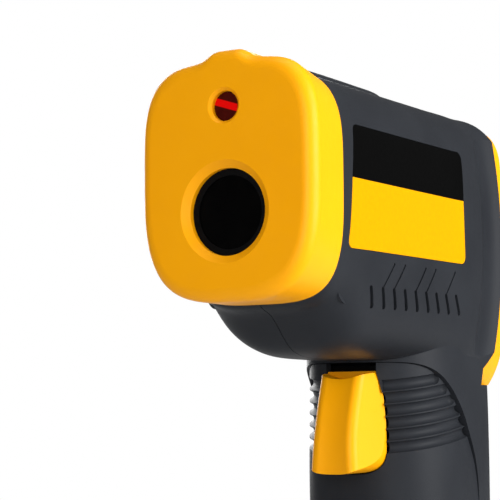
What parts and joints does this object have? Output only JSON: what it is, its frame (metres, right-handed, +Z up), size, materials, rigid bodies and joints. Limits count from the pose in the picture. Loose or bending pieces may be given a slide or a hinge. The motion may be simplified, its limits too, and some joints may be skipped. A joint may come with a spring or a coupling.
{
  "type": "infrared thermometer",
  "caption": "Pistol-grip infrared thermometer with a square yellow nose cap, laser and sensor windows, a yellow trigger, a display at the rear and a hinged battery door in the grip",
  "frame": {"origin": "middle of the bounding box's bottom, under the foot of the handle", "axes": "+X is the instrument's left side, -Y the muzzle that points at the target, +Z up along the handle"},
  "size_m": [0.0444, 0.101, 0.153],
  "materials": {
    "body_black": "fine satin ABS",
    "signal_yellow": "smooth semi-gloss ABS",
    "steel": "plain",
    "inner_plastic": "moulded",
    "battery_can": "printed can",
    "foam": "foam",
    "red_wire": "insulation",
    "black_wire": "insulation",
    "dark_lens": "polished",
    "circuit_board": "solder mask",
    "ribbon": "flat cable",
    "red_pane": "tinted",
    "brass": "turned",
    "clear_pane": "clear",
    "chip": "moulded",
    "key_grey": "soft touch",
    "display_glass": "display",
    "light_guide": "milky",
    "zebra_rubber": "soft",
    "label_film": "printed film"
  },
  "bodies": {
    "root": {"left_shell": "body_black", "right_shell": "body_black", "nose_cap": "signal_yellow", "rear_bezel": "signal_yellow", "door_hinge_pin": "steel", "trigger_bracket": "inner_plastic", "trigger_spring": "steel", "switch_body": "inner_plastic", "battery_9v": "battery_can", "battery_connector": "inner_plastic", "battery_pad": "foam", "battery_lead_red": "red_wire", "battery_lead_black": "black_wire", "ir_lens": "dark_lens", "lens_retainer": "inner_plastic", "sensor_tube": "inner_plastic", "field_stop": "inner_plastic", "thermopile_sensor": "steel", "sensor_board": "circuit_board", "sensor_cable": "ribbon", "laser_window": "red_pane", "laser_module": "brass", "laser_lens": "clear_pane", "laser_holder": "inner_plastic", "laser_lead_red": "red_wire", "laser_lead_black": "black_wire", "main_board": "circuit_board", "processor_chip": "chip", "board_parts": "chip", "buzzer": "chip", "key_switches": "chip", "lcd_window": "clear_pane", "lcd_panel": "display_glass", "lcd_backlight": "light_guide", "lcd_frame": "light_guide", "zebra_strip": "zebra_rubber", "left_label": "label_film", "right_label": "label_film", "shell_screws": "steel", "board_screws": "steel", "bracket_screws": "steel"},
    "door": {"battery_door": "body_black"},
    "trigger": {"trigger": "signal_yellow"},
    "plunger": {"switch_plunger": "inner_plastic"},
    "laser_key": {"laser_key": "key_grey"},
    "backlight_key": {"backlight_key": "key_grey"},
    "unit_key": {"unit_key": "key_grey"}
  },
  "joints": [
    {"name": "door_hinge", "type": "hinge", "parent": "root", "child": "door", "pos_m": [0, 0.0116, 0.0023], "axis": [1, 0, 0], "range_deg": [0, 65]},
    {"name": "trigger_pull", "type": "slide", "parent": "root", "child": "trigger", "axis": [0, 1, 0], "range_m": [0, 0.0025], "stiffness_N_per_m": 800, "springref_m": -0.0015, "deforming": ["trigger_spring"]},
    {"name": "plunger_slide", "type": "slide", "parent": "root", "child": "plunger", "axis": [0, 1, 0], "range_m": [0, 0.0025]},
    {"name": "laser_key_press", "type": "slide", "parent": "root", "child": "laser_key", "axis": [0, -1, 0], "range_m": [0, 0.0008], "stiffness_N_per_m": 1500, "springref_m": -0.0005},
    {"name": "backlight_key_press", "type": "slide", "parent": "root", "child": "backlight_key", "axis": [0, -1, 0], "range_m": [0, 0.0008], "stiffness_N_per_m": 1500, "springref_m": -0.0005},
    {"name": "unit_key_press", "type": "slide", "parent": "root", "child": "unit_key", "axis": [0, -1, 0], "range_m": [0, 0.0008], "stiffness_N_per_m": 1500, "springref_m": -0.0005}
  ],
  "couplings": [
    {"joint": "plunger_slide", "follows": "trigger_pull", "ratio": 1}
  ]
}
